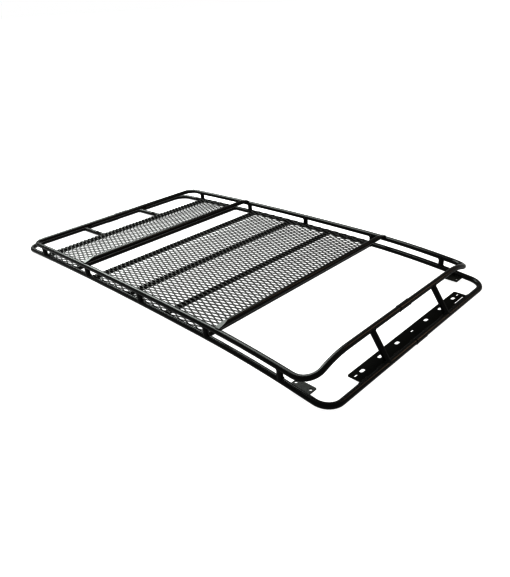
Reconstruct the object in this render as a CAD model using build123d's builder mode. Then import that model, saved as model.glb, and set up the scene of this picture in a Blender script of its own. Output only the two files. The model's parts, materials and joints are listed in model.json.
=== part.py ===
"""Full-length roof cargo rack: two welded tube rings, a mesh floor and a light plate.

Units are millimetres.  +X points to the front of the vehicle, +Y to its left, +Z up.
The origin is the centre of the rack's footprint, on the plane its two end tubes rest on.
"""
from build123d import *
from math import cos, radians, sin, sqrt
import os

os.makedirs("parts", exist_ok=True)

# Tube stock: one inch round steel tube
TUBE_OD = 25.4
TUBE_WALL = 2.1
TUBE_R = TUBE_OD / 2
NOTCH_GAP = 0.05

# Lower ring, centre line to centre line
RING_WIDTH = 1218.0
LOWER_LENGTH = 2324.6
LOWER_FRONT_CORNER_R = 70.0
LOWER_REAR_CORNER_R = 81.0

# Upper ring: as wide as the lower one, and set in at both ends.  Its front corners are
# bent in a tilted plane, so the front tube climbs away from them and then levels off.
UPPER_REAR_INSET = 118.4
UPPER_FRONT_INSET = 91.7
UPPER_REAR_CORNER_R = 58.5
UPPER_FRONT_CORNER_R = 80.0
RING_RISE = 56.2
FRONT_TILT = 22.07
FRONT_LEVEL_R = 373.0

# The side rails follow a roof: a long shallow arc to the rear, a tighter one to the front
ARC_JOINT_X = 483.0
ARC_JOINT_SLOPE = -0.00197
REAR_ARC_R = 28876.0
FRONT_ARC_R = 5433.0

# Stations along the rack
POST_X = (-921.0, -434.0, 44.5, 517.0, 931.0)
FLOOR_BAR_X = (-909.0, -580.0, -388.0, -74.0, 225.0, 511.0)
RAISED_BAR_X = (-455.0, 592.0)
RAISED_BAR_LIFT = 18.5
RAISED_END_LENGTH = 58.0
RAISED_END_DROP = 14.0
STUB_Y = 218.0
STRUT_Y = 236.4

# Slip-on sleeves over the butt joints of the ring halves
SLEEVE_OD = 28.6
SLEEVE_BORE = 25.6
SLEEVE_LENGTH = 76.0

# Light plate on the inner shoulder of the front tube
PLATE_THICKNESS = 3.0
PLATE_HALF_LENGTH = 425.0
PLATE_INNER_X = 1093.0
PLATE_HOLE_X = 1118.0
PLATE_OFFSET_Y = 10.5
PLATE_CORNER_R = 8.0
LIGHT_SLOT_Y = (116.0, 240.0, 362.0)
LIGHT_SLOT = (30.0, 17.0)
WIRE_SLOT_Y = (0.0, 404.0, -404.0)
WIRE_SLOT = (21.0, 8.5)
RELIEF_SLOT_Y = 364.5
RELIEF_SLOT = (84.0, 7.0)

# Bolt-on feet: one flat tab on each side, inboard of the lower rail
TAB_X = (959.5, 1052.5)
TAB_REACH = 65.0
TAB_DROP = 14.5
TAB_THICKNESS = 5.0
TAB_CORNER_R = 4.0
TAB_HOLE_X = (970.5, 1040.5)
TAB_HOLE_INSET = 44.0
TAB_HOLE_R = 7.0

# Expanded metal floor: openings run along the rack
MESH_PITCH_X = 62.0
MESH_PITCH_Y = 25.4
MESH_STRAND = 3.6
MESH_THICKNESS = 2.6
MESH_EDGE = 4.0
MESH_FACET = 105.0
MESH_LIFT = 0.3
MESH_HALF_WIDTH = RING_WIDTH / 2 - 4.0
MESH_REAR = (-909.0, -580.0)
MESH_MAIN = (-388.0, 511.0)

# Worked out from the sizes above
RAIL_Y = RING_WIDTH / 2
LOWER_END_X = LOWER_LENGTH / 2
UPPER_REAR_X = UPPER_REAR_INSET - LOWER_END_X
UPPER_FRONT_X = LOWER_END_X - UPPER_FRONT_INSET


def rail_drop(x):
    """How far a side rail at x lies below the joint between its two arcs."""
    radius = FRONT_ARC_R if x > ARC_JOINT_X else REAR_ARC_R
    apex_x = ARC_JOINT_X + ARC_JOINT_SLOPE * radius
    level = sqrt(radius**2 - (ARC_JOINT_X - apex_x) ** 2)
    return level - sqrt(radius**2 - (x - apex_x) ** 2)


def rail_tangent(x):
    """Unit direction of a side rail at x, pointing to the front."""
    radius = FRONT_ARC_R if x > ARC_JOINT_X else REAR_ARC_R
    slope = (x - ARC_JOINT_X) / radius - ARC_JOINT_SLOPE
    return Vector(sqrt(1 - slope**2), 0, -slope)


def end_drop(end_x, bend_r):
    """Drop of a lower end tube, which lies on the straight line out of its corners."""
    sign = 1 if end_x > 0 else -1
    start_x = end_x - sign * bend_r
    return rail_drop(start_x) - sign * rail_tangent(start_x).Z * bend_r


JOINT_Z = TUBE_R + max(
    end_drop(LOWER_END_X, LOWER_FRONT_CORNER_R), end_drop(-LOWER_END_X, LOWER_REAR_CORNER_R)
)


def rail_z(x, lift=0.0):
    """Height of a side rail's centre line above the resting plane."""
    return JOINT_Z - rail_drop(x) + lift


def climb_direction(x, side, tilt):
    """Square to the side rail at x: inward, tipped up by the tilt angle."""
    rail = rail_tangent(x)
    upward = Vector(-rail.Z, 0, rail.X)
    return Vector(0, -side * cos(radians(tilt)), 0) + upward * sin(radians(tilt))


def corner_points(end_x, side, bend_r, lift, tilt=0.0):
    """Start, middle and end of the bend from a side rail into an end tube."""
    sign = 1 if end_x > 0 else -1
    start_x = end_x - sign * bend_r
    along = rail_tangent(start_x) * sign
    across = climb_direction(start_x, side, tilt)
    start = Vector(start_x, side * RAIL_Y, rail_z(start_x, lift))
    middle = start + along * (bend_r * 0.70711) + across * (bend_r * 0.29289)
    end = start + along * bend_r + across * bend_r
    return start, middle, end


def half_ring_path(side, rear, front, lift, tilt=0.0):
    """Centre line of half a ring: rear and front are each (x of the tube, bend radius)."""
    climb = climb_direction(front[0] - front[1], side, tilt)
    settle = FRONT_LEVEL_R * sin(radians(tilt)) / (1 + cos(radians(tilt)))
    rear = corner_points(rear[0], side, rear[1], lift)
    front = corner_points(front[0], side, front[1], lift, tilt)
    joint = Vector(ARC_JOINT_X, side * RAIL_Y, rail_z(ARC_JOINT_X, lift))
    rear_mid_x = (rear[0].X + ARC_JOINT_X) / 2
    front_mid_x = (front[0].X + ARC_JOINT_X) / 2
    rear_mid = Vector(rear_mid_x, side * RAIL_Y, rail_z(rear_mid_x, lift))
    front_mid = Vector(front_mid_x, side * RAIL_Y, rail_z(front_mid_x, lift))
    with BuildLine() as path:
        Line(Vector(rear[2].X, 0, rear[2].Z), rear[2])
        ThreePointArc(rear[2], rear[1], rear[0])
        ThreePointArc(rear[0], rear_mid, joint)
        ThreePointArc(joint, front_mid, front[0])
        ThreePointArc(*front)
        tip = front[2]
        if tilt > 0:
            level_end = tip + (climb + Vector(0, -side, 0)) * settle
            tip = TangentArc(tip, level_end, tangent=climb) @ 1
        Line(tip, Vector(tip.X, 0, tip.Z))
    return path.line


def tube(path, solid=False, trims=(), radius=TUBE_R):
    """A round tube along a path, notched at its ends to fit the tubes in trims."""
    with BuildPart() as piece:
        with BuildSketch(Plane(origin=path @ 0, z_dir=path % 0)):
            Circle(radius)
            if not solid:
                Circle(TUBE_R - TUBE_WALL, mode=Mode.SUBTRACT)
        sweep(path=path)
        for trim in trims:
            add(trim, mode=Mode.SUBTRACT)
    return piece.part


def save(part, name):
    part.label = name
    export_step(part, f"parts/{name}.step", write_pcurves=False)


def line_path(*points):
    with BuildLine() as path:
        Polyline(*points) if len(points) > 2 else Line(*points)
    return path.line


def raised_bar_solid(x, radius, half_length):
    """A straight crossbar above the upper rails, its top pressed down over both rails."""
    centre_z = rail_z(x, RING_RISE) + RAISED_BAR_LIFT
    top = centre_z + radius
    bottom = centre_z - radius
    slope_y = RAIL_Y - RAISED_END_LENGTH
    end_top = top - RAISED_END_DROP * (half_length - slope_y) / RAISED_END_LENGTH
    right = [(-half_length, end_top), (-slope_y, top)]
    left = [(slope_y, top), (half_length, end_top)]
    with BuildPart() as bar:
        with BuildSketch(Plane.YZ.offset(x)):
            Polygon((-half_length, bottom), *right, *left, (half_length, bottom), align=None)
        extrude(amount=radius, both=True)
        with Locations((x, 0, centre_z)):
            Cylinder(radius, 2 * half_length + 10, rotation=(90, 0, 0), mode=Mode.INTERSECT)
    return bar.part


# The two rings, each bent as a left and a right half and butt-welded at the middle
SIDES = {"left": 1, "right": -1}
lower_path = {}
upper_path = {}
for side_name, side in SIDES.items():
    lower_path[side_name] = half_ring_path(
        side,
        (-LOWER_END_X, LOWER_REAR_CORNER_R),
        (LOWER_END_X, LOWER_FRONT_CORNER_R),
        0,
    )
    upper_path[side_name] = half_ring_path(
        side,
        (UPPER_REAR_X, UPPER_REAR_CORNER_R),
        (UPPER_FRONT_X, UPPER_FRONT_CORNER_R),
        RING_RISE,
        FRONT_TILT,
    )
    save(tube(lower_path[side_name]), f"lower_ring_{side_name}")
    save(tube(upper_path[side_name]), f"upper_ring_{side_name}")

# Sleeves that join the halves of each ring, at the middle of its front and rear tubes
sleeves = {
    "lower_front": lower_path["left"] @ 1,
    "lower_rear": lower_path["left"] @ 0,
    "upper_front": upper_path["left"] @ 1,
    "upper_rear": upper_path["left"] @ 0,
}
for sleeve_name, centre in sleeves.items():
    with BuildPart() as sleeve:
        with BuildSketch(Plane.XZ.offset(-SLEEVE_LENGTH / 2)):
            with Locations((centre.X, centre.Z)):
                Circle(SLEEVE_OD / 2)
                Circle(SLEEVE_BORE / 2, mode=Mode.SUBTRACT)
        extrude(amount=SLEEVE_LENGTH)
        chamfer(sleeve.edges().filter_by(GeomType.CIRCLE).sort_by(SortBy.RADIUS)[-2:], 0.6)
    save(sleeve.part, f"sleeve_{sleeve_name}")


def stock(centre, direction, length=120.0, gap=NOTCH_GAP):
    """A solid length of tube stock, used to notch the ends of the tubes that meet it."""
    half = Vector(*direction) * (length / 2)
    return tube(line_path(centre - half, centre + half), solid=True, radius=TUBE_R + gap)


def rail_stock(x, side, lift=0.0, gap=NOTCH_GAP):
    """Tube stock that follows a side rail at x."""
    centre = Vector(x, side * RAIL_Y, rail_z(x, lift))
    return stock(centre, tuple(rail_tangent(x)), gap=gap)


# Floor bars between the lower rails, numbered from the rear
floor_solid = {}
for number, x in enumerate(FLOOR_BAR_X, start=1):
    path = line_path(*[Vector(x, side * RAIL_Y, rail_z(x)) for side in SIDES.values()])
    floor_solid[x] = tube(path, solid=True, radius=TUBE_R + NOTCH_GAP)
    notches = [rail_stock(x, side) for side in SIDES.values()]
    save(tube(path, trims=notches), f"floor_bar_{number}")

# Raised crossbars, straight across the upper rails
for bar_name, x in zip(("rear", "front"), RAISED_BAR_X):
    with BuildPart() as raised_bar:
        add(raised_bar_solid(x, TUBE_R, RAIL_Y))
        bore = raised_bar_solid(x, TUBE_R - TUBE_WALL, RAIL_Y - TUBE_R - TUBE_WALL)
        add(bore, mode=Mode.SUBTRACT)
        for side in SIDES.values():
            add(rail_stock(x, side, RING_RISE), mode=Mode.SUBTRACT)
    save(raised_bar.part, f"raised_bar_{bar_name}")

# Posts that join the rings along both sides, notched around any floor bar beside them
for side_name, side in SIDES.items():
    for number, x in enumerate(POST_X, start=1):
        foot = Vector(x, side * RAIL_Y, rail_z(x))
        head = Vector(x, side * RAIL_Y, rail_z(x, RING_RISE))
        notches = [rail_stock(x, side), rail_stock(x, side, RING_RISE)]
        notches += [bar for bar_x, bar in floor_solid.items() if abs(bar_x - x) < TUBE_OD]
        save(tube(line_path(foot, head), trims=notches), f"post_{side_name}_{number}")

# Short tubes from the rear end tube to the first floor bar
ALONG_Y = (0, 1, 0)
first_bar_x = FLOOR_BAR_X[0]
rear_tube_z = corner_points(-LOWER_END_X, 1, LOWER_REAR_CORNER_R, 0)[2].Z
for side_name, side in SIDES.items():
    start = Vector(-LOWER_END_X, side * STUB_Y, rear_tube_z)
    end = Vector(first_bar_x, side * STUB_Y, rail_z(first_bar_x))
    notches = [stock(start, ALONG_Y), stock(end, ALONG_Y)]
    save(tube(line_path(start, end), trims=notches), f"rear_stub_{side_name}")

# Struts from the raised front tube down to the lower front tube
strut_solid = []
upper_front = upper_path["left"] @ 1
lower_front = lower_path["left"] @ 1
for side_name, side in SIDES.items():
    top = Vector(upper_front.X, side * STRUT_Y, upper_front.Z)
    bottom = Vector(lower_front.X, side * STRUT_Y, lower_front.Z)
    path = line_path(top, bottom)
    strut_solid.append(tube(path, solid=True, radius=TUBE_R + NOTCH_GAP))
    notches = [stock(top, ALONG_Y), stock(bottom, ALONG_Y)]
    save(tube(path, trims=notches), f"front_strut_{side_name}")

# Light plate, let into the inner shoulder of the lower front tube
PLATE_Z = lower_front.Z + 7.5
plate_length_x = lower_front.X - PLATE_INNER_X
with BuildPart() as light_plate:
    with BuildSketch(Plane.XY.offset(PLATE_Z)):
        with Locations((PLATE_INNER_X + plate_length_x / 2, PLATE_OFFSET_Y)):
            outline = Rectangle(plate_length_x, 2 * PLATE_HALF_LENGTH)
        fillet(outline.vertices().group_by(Axis.X)[0], PLATE_CORNER_R)
        slot_y = [sign * y for y in LIGHT_SLOT_Y for sign in (1, -1)]
        with Locations(*[(PLATE_HOLE_X, y + PLATE_OFFSET_Y) for y in slot_y]):
            SlotOverall(*LIGHT_SLOT, rotation=90, mode=Mode.SUBTRACT)
        with Locations(*[(PLATE_HOLE_X, y + PLATE_OFFSET_Y) for y in WIRE_SLOT_Y]):
            SlotOverall(*WIRE_SLOT, rotation=90, mode=Mode.SUBTRACT)
        relief_x = lower_front.X - TUBE_R - RELIEF_SLOT[1] / 2
        with Locations((relief_x, RELIEF_SLOT_Y + PLATE_OFFSET_Y)):
            SlotOverall(*RELIEF_SLOT, rotation=90, mode=Mode.SUBTRACT)
    extrude(amount=PLATE_THICKNESS)
    add(stock(lower_front - Vector(0, lower_front.Y, 0), ALONG_Y, 1000.0), mode=Mode.SUBTRACT)
    sleeve_gap = (SLEEVE_OD - TUBE_OD) / 2 + NOTCH_GAP
    middle = lower_front - Vector(0, lower_front.Y, 0)
    add(stock(middle, ALONG_Y, SLEEVE_LENGTH + 4, sleeve_gap), mode=Mode.SUBTRACT)
    for solid_strut in strut_solid:
        add(solid_strut, mode=Mode.SUBTRACT)
save(light_plate.part, "light_plate")

# Bolt-on feet
tab_length = TAB_X[1] - TAB_X[0]
tab_x = (TAB_X[0] + TAB_X[1]) / 2
for side_name, side in SIDES.items():
    with BuildPart() as tab:
        with BuildSketch(Plane.XY.offset(rail_z(tab_x) - TAB_DROP)):
            with Locations((tab_x, side * (RAIL_Y - TAB_REACH / 2))):
                outline = Rectangle(tab_length, TAB_REACH)
            inboard = outline.vertices().sort_by(Axis.Y)
            fillet(inboard[:2] if side > 0 else inboard[2:], TAB_CORNER_R)
            with Locations(*[(x, side * (RAIL_Y - TAB_HOLE_INSET)) for x in TAB_HOLE_X]):
                Circle(TAB_HOLE_R, mode=Mode.SUBTRACT)
        extrude(amount=TAB_THICKNESS)
        add(rail_stock(tab_x, side, gap=4 * NOTCH_GAP), mode=Mode.SUBTRACT)
    save(tab.part, f"mount_tab_{side_name}")


def mesh_sheet(span):
    """Expanded metal laid on the floor bars, bent to the crown and cut around posts."""
    start_x, end_x = span
    step_x = MESH_PITCH_X / 2
    step_y = MESH_PITCH_Y / 2
    columns = int((end_x - start_x) / MESH_PITCH_X) + 3
    rows = int(2 * MESH_HALF_WIDTH / MESH_PITCH_Y) + 3
    middle_x = (start_x + end_x) / 2
    half_x = step_x - MESH_STRAND * 0.9
    half_y = step_y - MESH_STRAND * 0.55
    base = rail_z(middle_x) + TUBE_R
    facets = round((end_x - start_x) / MESH_FACET)
    profile_x = [start_x + (end_x - start_x) * i / facets for i in range(facets + 1)]
    under = [(x, rail_z(x) + TUBE_R + MESH_LIFT) for x in profile_x]
    over = [(x, z + MESH_THICKNESS) for x, z in reversed(under)]
    with BuildPart() as sheet:
        with BuildSketch(Plane.XZ.offset(-MESH_HALF_WIDTH)):
            Polygon(*under, *over, align=None)
        extrude(amount=2 * MESH_HALF_WIDTH)
        with BuildSketch(Plane.XY.offset(base - 30)):
            shift = (step_x, step_y)
            for offset_x, offset_y in ((0, 0), shift):
                with Locations((middle_x + offset_x, offset_y)):
                    with GridLocations(MESH_PITCH_X, MESH_PITCH_Y, columns, rows):
                        Polygon(
                            (half_x, 0), (0, half_y), (-half_x, 0), (0, -half_y)
                        )
            with Locations((middle_x, 0)):
                Rectangle(
                    end_x - start_x - 2 * MESH_EDGE,
                    2 * (MESH_HALF_WIDTH - MESH_EDGE),
                    mode=Mode.INTERSECT,
                )
        extrude(amount=60, mode=Mode.SUBTRACT)
        posts = [(x, s * RAIL_Y) for x in POST_X for s in (1, -1)]
        with BuildSketch(Plane.XY.offset(base - 30)):
            with Locations(*posts):
                Circle(TUBE_R + 0.6)
        extrude(amount=60, mode=Mode.SUBTRACT)
    return sheet.part


save(mesh_sheet(MESH_REAR), "mesh_rear")
save(mesh_sheet(MESH_MAIN), "mesh_main")
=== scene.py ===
"""Studio picture of a welded tube roof rack: weld beads, expanded metal floor, powder coat.

Metres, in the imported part's own frame: +X is the front of the vehicle, +Z is up.
"""

import json
import math

import bmesh
import bpy
from mathutils import Matrix, Vector


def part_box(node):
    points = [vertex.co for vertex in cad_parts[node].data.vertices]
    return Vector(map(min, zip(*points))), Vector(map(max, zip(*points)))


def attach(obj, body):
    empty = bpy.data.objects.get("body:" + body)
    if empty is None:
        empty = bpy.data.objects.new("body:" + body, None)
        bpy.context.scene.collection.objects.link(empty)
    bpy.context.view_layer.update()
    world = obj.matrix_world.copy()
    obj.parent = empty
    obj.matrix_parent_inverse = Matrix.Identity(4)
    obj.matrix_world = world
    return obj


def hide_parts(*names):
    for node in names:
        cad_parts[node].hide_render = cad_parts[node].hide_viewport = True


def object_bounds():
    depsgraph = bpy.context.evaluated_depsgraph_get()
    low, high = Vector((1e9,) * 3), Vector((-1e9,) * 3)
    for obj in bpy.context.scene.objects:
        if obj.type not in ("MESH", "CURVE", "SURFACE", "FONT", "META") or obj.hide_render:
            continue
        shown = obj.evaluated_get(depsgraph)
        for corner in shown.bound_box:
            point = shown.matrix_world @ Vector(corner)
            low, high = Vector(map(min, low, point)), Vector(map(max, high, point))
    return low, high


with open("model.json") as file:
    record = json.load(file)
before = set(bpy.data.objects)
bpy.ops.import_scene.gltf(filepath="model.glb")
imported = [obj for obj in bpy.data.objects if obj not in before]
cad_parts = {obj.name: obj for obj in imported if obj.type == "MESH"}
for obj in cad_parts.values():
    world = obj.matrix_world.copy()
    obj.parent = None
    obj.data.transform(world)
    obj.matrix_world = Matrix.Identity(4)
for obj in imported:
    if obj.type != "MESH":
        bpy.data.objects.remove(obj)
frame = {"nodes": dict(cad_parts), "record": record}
cad_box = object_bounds()

# ---------------------------------------------------------------- the frame's own sizes


def span(node):
    low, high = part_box(node)
    return Vector(low), Vector(high)


def middle(node):
    low, high = span(node)
    return (low + high) / 2


POSTS = range(1, 6)
FLOOR_BARS = range(1, 7)
SIDES = {"left": 1, "right": -1}
bar_low, bar_high = span("floor_bar_3")
TUBE_R = (bar_high.z - bar_low.z) / 2
RAIL_Y = bar_high.y
# The coped ends of the posts stop this far short of the rails' centre lines
COPE_TRIM = 0.0011
RING_RISE = span("post_left_3")[1].z - span("post_left_3")[0].z + 2 * COPE_TRIM


def through(points):
    """The polynomial that passes through the points, as a function: within 1 mm between them."""

    def height(x):
        total = 0.0
        for i, (xi, zi) in enumerate(points):
            term = zi
            for j, (xj, _) in enumerate(points):
                if j != i:
                    term *= (x - xj) / (xi - xj)
            total += term
        return total

    return height


def foot_of(post):
    return middle(post).x, span(post)[0].z - COPE_TRIM


rail_height = through([foot_of(f"post_left_{n}") for n in POSTS])


def rail_direction(x, step=0.01):
    rise = rail_height(x + step) - rail_height(x - step)
    return Vector((2 * step, 0, rise)).normalized()


# ---------------------------------------------------------------- materials


def node(tree, kind, **inputs):
    """A shader node with its sockets set: numbers and colours by value, others by link."""
    made = tree.nodes.new(kind)
    for name, value in inputs.items():
        socket = made.inputs[name.replace("_", " ")]
        if isinstance(value, bpy.types.NodeSocket):
            tree.links.new(value, socket)
        else:
            socket.default_value = value
    return made


def powder_coat(name, dark, light, rough, peel, shine=0.22):
    """Semi-gloss black powder coat: uneven film, fine orange peel, a little dust."""
    made = bpy.data.materials.new(name)
    made.use_nodes = True
    tree = made.node_tree
    shader = tree.nodes["Principled BSDF"]
    place = tree.nodes.new("ShaderNodeTexCoord").outputs["Object"]
    film = node(tree, "ShaderNodeTexNoise", Vector=place, Scale=9.0, Detail=4.0, Roughness=0.6)
    grain = node(tree, "ShaderNodeTexNoise", Vector=place, Scale=420.0, Detail=2.0)
    speck = node(tree, "ShaderNodeTexVoronoi", Vector=place, Scale=260.0)
    tint = tree.nodes.new("ShaderNodeValToRGB")
    tint.color_ramp.elements[0].position = 0.3
    tint.color_ramp.elements[0].color = (*dark, 1)
    tint.color_ramp.elements[1].position = 0.72
    tint.color_ramp.elements[1].color = (*light, 1)
    tree.links.new(film.outputs["Fac"], tint.inputs["Fac"])
    tree.links.new(tint.outputs["Color"], shader.inputs["Base Color"])
    gloss = node(tree, "ShaderNodeMapRange", Value=film.outputs["Fac"])
    gloss.inputs["To Min"].default_value = rough - 0.06
    gloss.inputs["To Max"].default_value = rough + 0.08
    tree.links.new(gloss.outputs["Result"], shader.inputs["Roughness"])
    skin = node(tree, "ShaderNodeMath")
    skin.operation = "ADD"
    tree.links.new(grain.outputs["Fac"], skin.inputs[0])
    tree.links.new(speck.outputs["Distance"], skin.inputs[1])
    bump = node(tree, "ShaderNodeBump", Strength=peel, Distance=0.0004, Height=skin.outputs["Value"])
    tree.links.new(bump.outputs["Normal"], shader.inputs["Normal"])
    shader.inputs["Specular IOR Level"].default_value = shine
    return made


tube_coat = powder_coat("tube_coat", (0.0016, 0.0017, 0.0013), (0.005, 0.0048, 0.0038), 0.26, 0.2)
plate_coat = powder_coat("plate_coat", (0.002, 0.0023, 0.0016), (0.006, 0.006, 0.0045), 0.5, 0.25, 0.05)
tab_coat = powder_coat("tab_coat", (0.004, 0.0043, 0.0035), (0.009, 0.009, 0.007), 0.4, 0.25, 0.2)
mesh_coat = powder_coat("mesh_coat", (0.017, 0.017, 0.0164), (0.03, 0.0295, 0.0285), 0.4, 0.3, 0.2)
weld_coat = powder_coat("weld_coat", (0.002, 0.002, 0.0016), (0.007, 0.0065, 0.0055), 0.3, 0.4)
COAT_OF_SLOT = {"tube": tube_coat, "plate": plate_coat, "mesh": mesh_coat}

for part in frame["record"]["subparts"]:
    shown = frame["nodes"][part["node"]]
    shown.data.materials.clear()
    is_tab = part["node"].startswith("mount_tab")
    shown.data.materials.append(tab_coat if is_tab else COAT_OF_SLOT[part["material_slot"]])

# ---------------------------------------------------------------- expanded metal floor

LONG_PITCH = 0.062
SHORT_PITCH = 0.0254
METAL = 0.0032
TWIST = -math.tan(math.radians(14))
# How far from its edge a strand is when its lower side reaches the bars
STRAND_REACH = 0.003
# One quarter of an opening, as (x on the cell's edge, x and y on the opening), in millimetres
QUARTER = ((0, 0, 7.1), (6, 6, 6.7), (15.5, 13, 4.3), (25, 19.2, 1.9), (31, 24.0, 0))


def quarter_points():
    """Edge and opening points for the quarter of a cell with x and y above zero."""
    half_long = LONG_PITCH / 2
    half_short = SHORT_PITCH / 2
    for edge_x, open_x, open_y in QUARTER:
        edge = (edge_x / 1000, half_short * (1 - edge_x / 1000 / half_long))
        yield edge, (open_x / 1000, open_y / 1000)


def cell_ring():
    """Matching edge and opening points all the way round one cell."""
    quarter = list(quarter_points())
    ring = []
    for sign_x, sign_y, backwards in ((1, 1, False), (1, -1, True), (-1, -1, False), (-1, 1, True)):
        run = reversed(quarter) if backwards else quarter
        points = [
            ((ex * sign_x, ey * sign_y), (ox * sign_x, oy * sign_y)) for (ex, ey), (ox, oy) in run
        ]
        ring.extend(points[:-1])
    return ring


def expanded_sheet(name, cad_node, bars):
    """A sheet of expanded metal lying on the bars, its strands twisted as pressed."""
    low, high = span(cad_node)
    centre_x = (low.x + high.x) / 2
    top = through([(middle(b).x, span(b)[1].z) for b in bars])
    half_short = SHORT_PITCH / 2
    half_long = LONG_PITCH / 2
    lift = METAL / 2 + abs(TWIST) * STRAND_REACH
    build = bmesh.new()
    known = {}

    def corner(x, y, z):
        key = (round(x, 6), round(y, 6), round(z, 6))
        if key not in known:
            known[key] = build.verts.new((x, y, top(x) + lift + z))
        return known[key]

    ring = cell_ring()
    reach_x = int((high.x - low.x) / 2 / half_long) + 2
    reach_y = int(high.y / half_short) + 2
    for column in range(-reach_x, reach_x + 1):
        for row in range(-reach_y, reach_y + 1):
            if (column + row) % 2:
                continue
            cx = centre_x + column * half_long
            cy = row * half_short
            loops = []
            for (ex, ey), (ox, oy) in ring:
                edge_y = math.copysign(half_short * (1 - abs(ox) / half_long), oy if oy else 1)
                tilt = 0.0 if oy == 0 else TWIST * (oy - edge_y)
                loops.append(
                    (
                        corner(cx + ex, cy + ey, METAL / 2),
                        corner(cx + ox, cy + oy, tilt + METAL / 2),
                        corner(cx + ox, cy + oy, tilt - METAL / 2),
                        corner(cx + ex, cy + ey, -METAL / 2),
                    )
                )
            for here, ahead in zip(loops, loops[1:] + loops[:1]):
                for first, second in ((0, 1), (1, 2), (2, 3)):
                    corners = (here[first], here[second], ahead[second], ahead[first])
                    if len(set(corners)) == 4:
                        build.faces.new(corners)
    for point, normal in (
        ((low.x, 0, 0), (-1, 0, 0)),
        ((high.x, 0, 0), (1, 0, 0)),
        ((0, low.y, 0), (0, -1, 0)),
        ((0, high.y, 0), (0, 1, 0)),
    ):
        geometry = build.verts[:] + build.edges[:] + build.faces[:]
        cut = bmesh.ops.bisect_plane(
            build, geom=geometry, plane_co=point, plane_no=normal, clear_outer=True
        )
        rim = [e for e in cut["geom_cut"] if isinstance(e, bmesh.types.BMEdge)]
        bmesh.ops.holes_fill(build, edges=rim, sides=0)
    bmesh.ops.recalc_face_normals(build, faces=build.faces[:])
    data = bpy.data.meshes.new(name)
    build.to_mesh(data)
    build.free()
    sheet = bpy.data.objects.new(name, data)
    bpy.context.collection.objects.link(sheet)
    data.materials.append(mesh_coat)
    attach(sheet, "root")
    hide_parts(cad_node)


expanded_sheet("expanded_sheet_rear", "mesh_rear", ["floor_bar_1", "floor_bar_2"])
expanded_sheet("expanded_sheet_main", "mesh_main", [f"floor_bar_{n}" for n in range(3, 7)])

# ---------------------------------------------------------------- weld beads

BEAD_R = 0.0028
SLEEVE_BEAD_R = 0.0016
PLATE_BEAD_R = 0.0022
TAB_BEAD_R = 0.0024
RIPPLE = 0.0028
RIPPLE_DEPTH = 0.16
BEAD_SIDES = 8
# How far a bead's middle stands off the surface that it runs along
STAND_OFF = 0.0006
# The light plate's stitches, as places along the plate from its middle
PLATE_STITCH_Y = (-0.4, -0.3, -0.18, -0.06, 0.06, 0.18, 0.3, 0.4)
PLATE_STITCH = 0.04
PLATE_END_STITCH = 0.012
# Each tab has one stitch at each end, this long, this far in from its corner
TAB_STITCH = 0.03
TAB_STITCH_INSET = 0.006
# A saddle bead keeps this share of a tube's radius from the line where the tubes' sides touch
SADDLE_FLOOR = 0.22
CROWN_BOW = 0.001


def bead(build, points, closed=True, radius=BEAD_R):
    """A rippled bead of weld metal along the points."""
    count = len(points)
    travelled = 0.0
    rings = []
    for i, here in enumerate(points):
        before = points[i - 1] if closed or i else here
        after = points[(i + 1) % count] if closed or i < count - 1 else here
        travelled += (here - before).length
        along = (after - before).normalized()
        side = along.orthogonal().normalized()
        if rings:
            side = (last_side - along * last_side.dot(along)).normalized()
        last_side = side
        other = along.cross(side)
        wave = 1 + RIPPLE_DEPTH * math.sin(2 * math.pi * travelled / RIPPLE)
        end = 1.0 if closed else min(1.0, 0.25 + min(i, count - 1 - i) * 0.5)
        size = radius * wave * end
        ring = []
        for k in range(BEAD_SIDES):
            turn = 2 * math.pi * k / BEAD_SIDES
            offset = side * math.cos(turn) + other * math.sin(turn)
            ring.append(build.verts.new(here + offset * size))
        rings.append(ring)
    for i in range(count if closed else count - 1):
        one, two = rings[i], rings[(i + 1) % count]
        shift = 0
        if i == count - 1:
            gaps = [(one[0].co - v.co).length for v in two]
            shift = gaps.index(min(gaps))
        for k in range(BEAD_SIDES):
            a, b = one[k], one[(k + 1) % BEAD_SIDES]
            c, d = two[(k + 1 + shift) % BEAD_SIDES], two[(k + shift) % BEAD_SIDES]
            build.faces.new((a, b, c, d))
    if not closed:
        build.faces.new(list(reversed(rings[0])))
        build.faces.new(rings[-1])


def saddle(centre, run, branch, steps=72):
    """Where a branch tube meets a run tube of the same size, as a closed loop of points."""
    u = (run - branch * run.dot(branch)).normalized()
    v = branch.cross(u)
    flat_branch = branch - run * branch.dot(run)
    points = []
    for i in range(steps):
        turn = 2 * math.pi * i / steps
        rim = (u * math.cos(turn) + v * math.sin(turn)) * TUBE_R
        flat_rim = rim - run * rim.dot(run)
        a = flat_branch.length_squared
        b = 2 * flat_rim.dot(flat_branch)
        c = flat_rim.length_squared - TUBE_R**2
        reach = (-b + math.sqrt(max(b * b - 4 * a * c, 0.0))) / (2 * a)
        reach = math.hypot(reach, TUBE_R * SADDLE_FLOOR)
        points.append(centre + rim + branch * reach)
    return points


def crown_seam(bar, side, steps=60, closing=12):
    """Where a raised bar lies over a rail: under the bar, then across the rail's crown."""
    low, high = span(bar)
    x = (low.x + high.x) / 2
    rise = (low.z + high.z) / 2 - rail_height(x) - RING_RISE
    last = math.asin((TUBE_R - rise) / TUBE_R)
    first = -math.pi - last
    points = []
    for i in range(steps + 1):
        turn = first + (last - first) * i / steps
        height = rise + TUBE_R * math.sin(turn)
        inward = math.sqrt(max(TUBE_R**2 - height**2, 0.0))
        y = side * (RAIL_Y - inward)
        points.append(Vector((x + TUBE_R * math.cos(turn), y, rail_height(x) + RING_RISE + height)))
    start, end = points[-1], points[0]
    bow = Vector((0, side * CROWN_BOW, 0))
    points += [start.lerp(end, i / closing) + bow for i in range(1, closing)]
    return points


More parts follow.
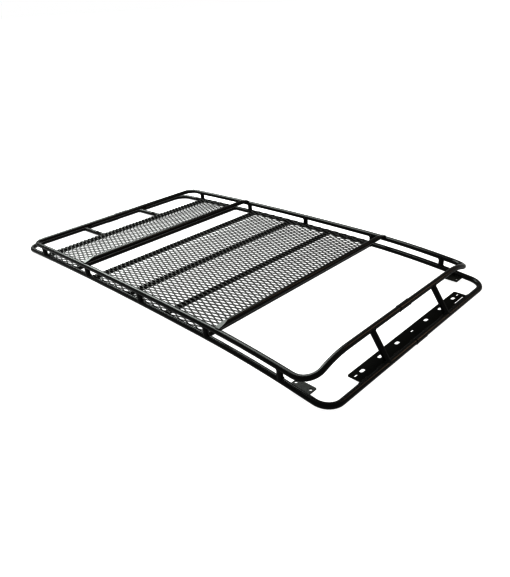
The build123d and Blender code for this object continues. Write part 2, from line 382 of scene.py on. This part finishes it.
def hoop(centre, axis, radius, steps=48):
    side = axis.orthogonal().normalized()
    other = axis.cross(side)
    turns = [2 * math.pi * i / steps for i in range(steps)]
    return [centre + (side * math.cos(t) + other * math.sin(t)) * radius for t in turns]


def stitch(start, end, step=0.0009):
    count = max(4, int((end - start).length / step))
    return [start.lerp(end, i / count) for i in range(count + 1)]


def joints():
    """Every tube joint, as (centre, run direction, branch direction)."""
    across = Vector((0, 1, 0))
    up = Vector((0, 0, 1))
    for side_name, side in SIDES.items():
        for n in POSTS:
            foot, head = span(f"post_{side_name}_{n}")
            x = (foot.x + head.x) / 2
            run = rail_direction(x)
            yield Vector((x, side * RAIL_Y, foot.z - COPE_TRIM)), run, up
            yield Vector((x, side * RAIL_Y, head.z + COPE_TRIM)), run, -up
        for n in FLOOR_BARS:
            place = middle(f"floor_bar_{n}")
            run = rail_direction(place.x)
            yield Vector((place.x, side * RAIL_Y, place.z)), run, -across * side
        for piece, start, end in (
            (f"rear_stub_{side_name}", "sleeve_lower_rear", "floor_bar_1"),
            (f"front_strut_{side_name}", "sleeve_upper_front", "sleeve_lower_front"),
        ):
            y = middle(piece).y
            one = middle(start)
            two = middle(end)
            one.y = two.y = y
            branch = (two - one).normalized()
            yield one, across, branch
            yield two, across, -branch


def weld_everything():
    build = bmesh.new()
    for centre, run, branch in joints():
        bead(build, saddle(centre, run, branch))
    for side in SIDES.values():
        for bar in ("raised_bar_rear", "raised_bar_front"):
            bead(build, crown_seam(bar, side))
    for name in ("lower_front", "lower_rear", "upper_front", "upper_rear"):
        low, high = span(f"sleeve_{name}")
        centre = middle(f"sleeve_{name}")
        for y in (low.y, high.y):
            ring = hoop(Vector((centre.x, y, centre.z)), Vector((0, 1, 0)), TUBE_R + STAND_OFF)
            bead(build, ring, radius=SLEEVE_BEAD_R)
    front = middle("sleeve_lower_front")
    plate_low, plate_high = span("light_plate")
    seam_z = plate_high.z
    seam_x = front.x - math.sqrt(max(TUBE_R**2 - (seam_z - front.z) ** 2, 0.0)) - STAND_OFF
    plate_y = (plate_low.y + plate_high.y) / 2
    for y in PLATE_STITCH_Y:
        start = Vector((seam_x, plate_y + y - PLATE_STITCH / 2, seam_z))
        line = stitch(start, start + Vector((0, PLATE_STITCH, 0)))
        bead(build, line, closed=False, radius=PLATE_BEAD_R)
    for y, out in ((plate_low.y, -1), (plate_high.y, 1)):
        start = Vector((seam_x - 0.001, y, (plate_low.z + seam_z) / 2))
        line = stitch(start, start + Vector((0.001, out * PLATE_END_STITCH, 0)))
        bead(build, line, closed=False)
    for side_name, side in SIDES.items():
        low, high = span(f"mount_tab_{side_name}")
        x0, x1 = low.x + TAB_STITCH_INSET, high.x - TAB_STITCH_INSET
        drop = rail_height((low.x + high.x) / 2) - high.z
        y = side * (RAIL_Y - math.sqrt(TUBE_R**2 - drop**2))
        for a, b in ((x0, x0 + TAB_STITCH), (x1 - TAB_STITCH, x1)):
            start, end = Vector((a, y, high.z)), Vector((b, y, high.z))
            bead(build, stitch(start, end), closed=False, radius=TAB_BEAD_R)
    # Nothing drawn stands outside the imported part's box
    for vertex in build.verts:
        vertex.co = [min(max(c, a), b) for c, a, b in zip(vertex.co, *cad_box)]
    bmesh.ops.recalc_face_normals(build, faces=build.faces[:])
    data = bpy.data.meshes.new("weld_beads")
    build.to_mesh(data)
    build.free()
    for face in data.polygons:
        face.use_smooth = True
    welds = bpy.data.objects.new("weld_beads", data)
    bpy.context.collection.objects.link(welds)
    data.materials.append(weld_coat)
    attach(welds, "root")


weld_everything()

# ---------------------------------------------------------------- studio


FLOOR_SIZE = 900
FLOOR_GLOW = 0.95
# Darkens the mid tones, so that thin bright and dark details mix as they do in a product picture
VIEW_GAMMA = 0.55


def pale_floor():
    """A light-table floor: it glows a little under one, so nothing on it casts a hard shadow."""
    bpy.ops.mesh.primitive_plane_add(size=FLOOR_SIZE, location=(0, 0, 0))
    floor = bpy.context.object
    floor.name = "studio_floor"
    made = bpy.data.materials.new("studio_floor")
    made.use_nodes = True
    tree = made.node_tree
    shader = tree.nodes["Principled BSDF"]
    place = tree.nodes.new("ShaderNodeTexCoord").outputs["Object"]
    mottle = node(tree, "ShaderNodeTexNoise", Vector=place, Scale=3.0, Detail=3.0)
    tint = tree.nodes.new("ShaderNodeValToRGB")
    tint.color_ramp.elements[0].color = (0.1, 0.1, 0.1, 1)
    tint.color_ramp.elements[1].color = (0.12, 0.12, 0.12, 1)
    tree.links.new(mottle.outputs["Fac"], tint.inputs["Fac"])
    tree.links.new(tint.outputs["Color"], shader.inputs["Base Color"])
    shader.inputs["Roughness"].default_value = 0.9
    shader.inputs["Specular IOR Level"].default_value = 0.0
    shader.inputs["Emission Color"].default_value = (1, 1, 1, 1)
    shader.inputs["Emission Strength"].default_value = FLOOR_GLOW
    floor.data.materials.append(made)


def softbox(name, place, target, size, power, colour=(1, 1, 1)):
    lamp = bpy.data.lights.new(name, "AREA")
    lamp.shape = "RECTANGLE"
    lamp.size, lamp.size_y = size
    lamp.energy = power
    lamp.color = colour
    holder = bpy.data.objects.new(name, lamp)
    holder.location = place
    holder.rotation_euler = (Vector(target) - Vector(place)).to_track_quat("-Z", "Y").to_euler()
    bpy.context.collection.objects.link(holder)


pale_floor()
world = bpy.data.worlds.new("studio") if not bpy.context.scene.world else bpy.context.scene.world
bpy.context.scene.world = world
world.use_nodes = True
sky = world.node_tree.nodes["Background"]
sky.inputs["Color"].default_value = (1.0, 1.0, 1.0, 1)
sky.inputs["Strength"].default_value = 1.0
softbox("ridge_box", (-2.4, 0.1, 2.2), (-2.4, 0.1, 0), (5.0, 2.6), 620, (0.95, 1.0, 0.97))
softbox("warm_box", (2.4, 2.0, 1.8), (1.1, -0.1, 0), (0.6, 2.2), 40, (1.0, 0.72, 0.5))

# ---------------------------------------------------------------- camera

CAMERA_PLACE = Vector((2.0532, -1.794, 1.2867))
CAMERA_TURN = math.radians(45.985)
CAMERA_DOWN = math.radians(27.84)
CAMERA_ROLL = math.radians(-3.488)
LENS = 34.03

ahead = Vector(
    (
        -math.sin(CAMERA_TURN) * math.cos(CAMERA_DOWN),
        math.cos(CAMERA_TURN) * math.cos(CAMERA_DOWN),
        -math.sin(CAMERA_DOWN),
    )
)
level = Vector((math.cos(CAMERA_TURN), math.sin(CAMERA_TURN), 0))
upright = level.cross(ahead)
right = level * math.cos(CAMERA_ROLL) + upright * math.sin(CAMERA_ROLL)
top = upright * math.cos(CAMERA_ROLL) - level * math.sin(CAMERA_ROLL)
camera_data = bpy.data.cameras.new("camera")
camera_data.lens = LENS
camera_data.sensor_width = 36
camera_data.clip_end = 200
camera = bpy.data.objects.new("camera", camera_data)
bpy.context.collection.objects.link(camera)
turn = Matrix((right, top, -ahead)).transposed().to_4x4()
camera.matrix_world = Matrix.Translation(CAMERA_PLACE) @ turn
bpy.context.scene.camera = camera
bpy.context.scene.view_settings.view_transform = "Standard"
bpy.context.scene.view_settings.gamma = VIEW_GAMMA
